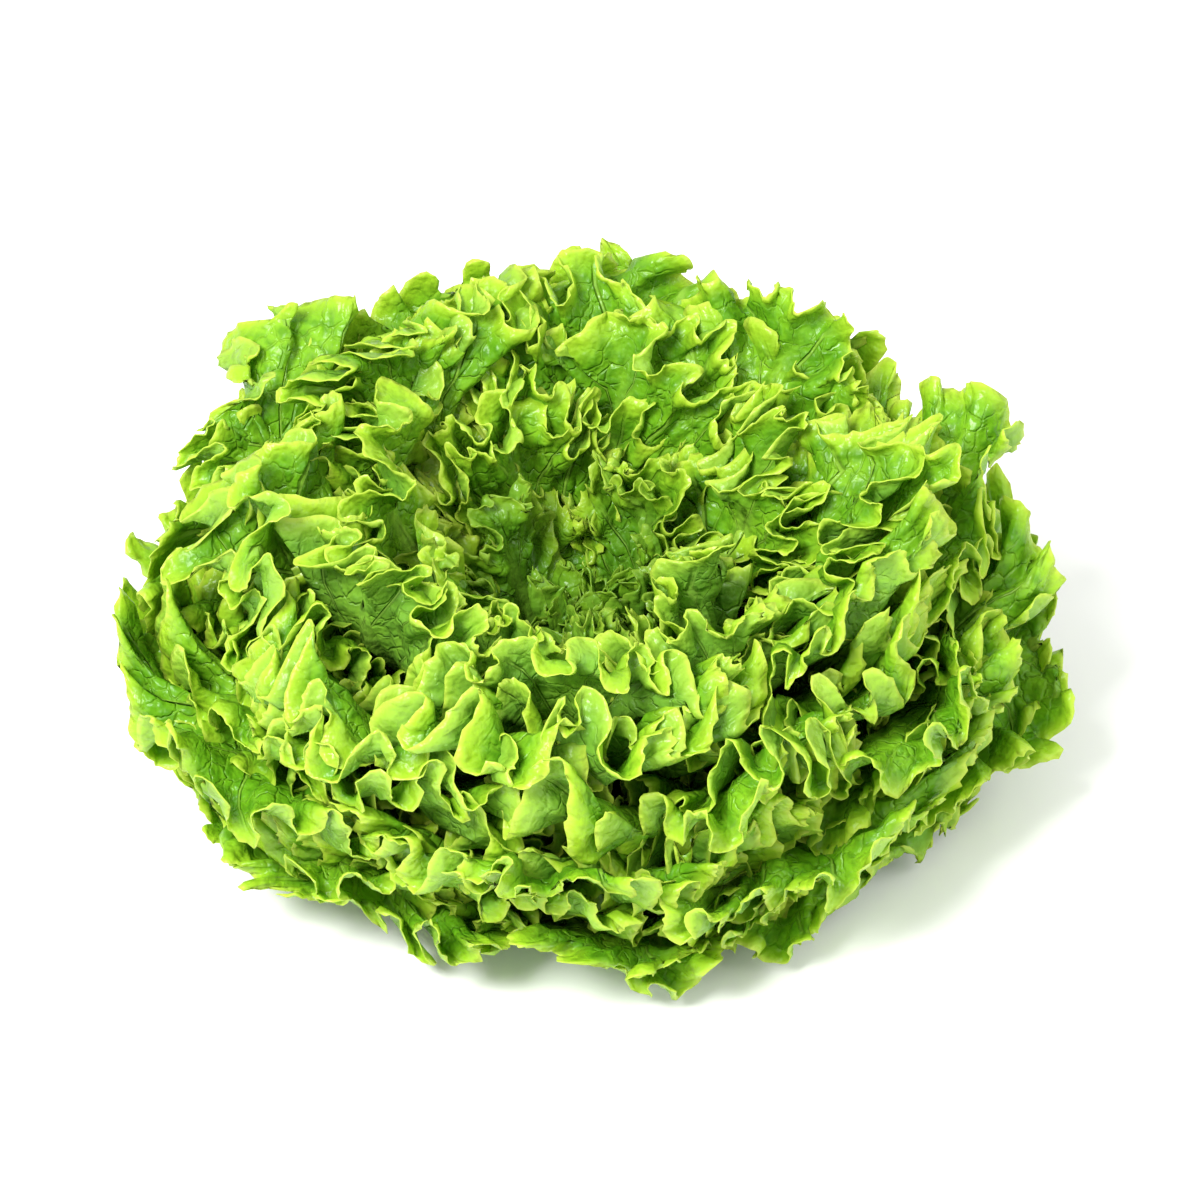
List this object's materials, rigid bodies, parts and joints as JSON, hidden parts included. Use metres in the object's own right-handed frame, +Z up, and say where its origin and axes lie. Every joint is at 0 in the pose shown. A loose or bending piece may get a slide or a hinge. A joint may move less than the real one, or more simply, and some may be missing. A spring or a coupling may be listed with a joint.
{
  "type": "batavia lettuce head",
  "caption": "Whole loose head of frilled green batavia lettuce, an open oval rosette of ruffled leaves round a small curled heart, cut flat at the stem.",
  "frame": {"origin": "centre of the stem's flat cut underside, on the surface that the head stands on", "axes": "+Z up along the stem from the cut to the heart, +X to the right and +Y to the back as seen from the picture's side"},
  "size_m": [0.3326, 0.2804, 0.1587],
  "materials": {
    "leaf_blade": "fresh frilled leaf, bright yellow-green, softly glossy",
    "stem_pith": "pale green stem with a freshly cut, slightly browned underside"
  },
  "bodies": {
    "root": {"stem": "stem_pith", "heart": "leaf_blade", "leaf_01": "leaf_blade", "leaf_02": "leaf_blade", "leaf_03": "leaf_blade", "leaf_04": "leaf_blade", "leaf_05": "leaf_blade", "leaf_06": "leaf_blade", "leaf_07": "leaf_blade", "leaf_08": "leaf_blade", "leaf_09": "leaf_blade", "leaf_10": "leaf_blade", "leaf_11": "leaf_blade", "leaf_12": "leaf_blade", "leaf_13": "leaf_blade", "leaf_14": "leaf_blade", "leaf_15": "leaf_blade", "leaf_16": "leaf_blade", "leaf_17": "leaf_blade", "leaf_18": "leaf_blade", "leaf_19": "leaf_blade", "leaf_20": "leaf_blade", "leaf_21": "leaf_blade", "leaf_22": "leaf_blade", "leaf_23": "leaf_blade", "leaf_24": "leaf_blade", "leaf_25": "leaf_blade", "leaf_26": "leaf_blade", "leaf_27": "leaf_blade", "leaf_28": "leaf_blade", "leaf_29": "leaf_blade", "leaf_30": "leaf_blade", "leaf_31": "leaf_blade", "leaf_32": "leaf_blade", "leaf_33": "leaf_blade", "leaf_34": "leaf_blade", "leaf_35": "leaf_blade", "leaf_36": "leaf_blade", "leaf_37": "leaf_blade", "leaf_38": "leaf_blade", "leaf_39": "leaf_blade", "leaf_40": "leaf_blade"}
  },
  "joints": []
}
